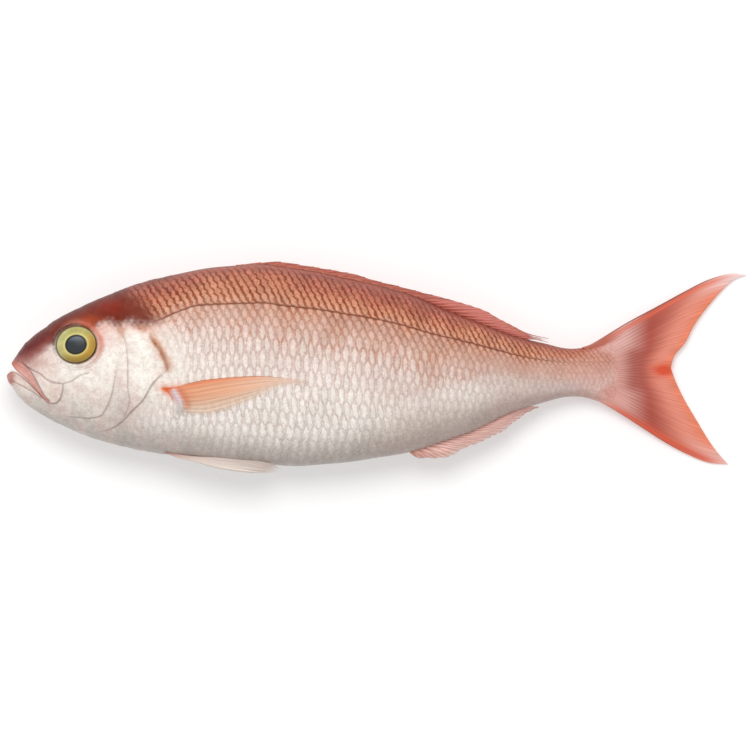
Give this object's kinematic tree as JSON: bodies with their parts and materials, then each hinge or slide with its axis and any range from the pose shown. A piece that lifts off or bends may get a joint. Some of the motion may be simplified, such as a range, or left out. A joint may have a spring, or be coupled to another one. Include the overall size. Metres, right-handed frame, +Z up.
{
  "type": "whole raw fish",
  "caption": "Whole raw slender fish lying on its side: red back, pale belly, large yellow eye, folded fins and a forked tail.",
  "frame": {"origin": "on the table, under the middle of the fish's box", "axes": "+X from the jaws to the tail, +Y from belly to back, +Z up from the table through the flank that shows"},
  "size_m": [0.42, 0.1204, 0.0576],
  "materials": {
    "skin": "wet, softly glossy scaled skin, red-brown back and silvery pink flanks",
    "eye": "clear wet eye, pale yellow iris and dark pupil"
  },
  "bodies": {
    "root": {"fish_body": "skin", "eye_left": "eye", "eye_right": "eye"}
  },
  "joints": []
}
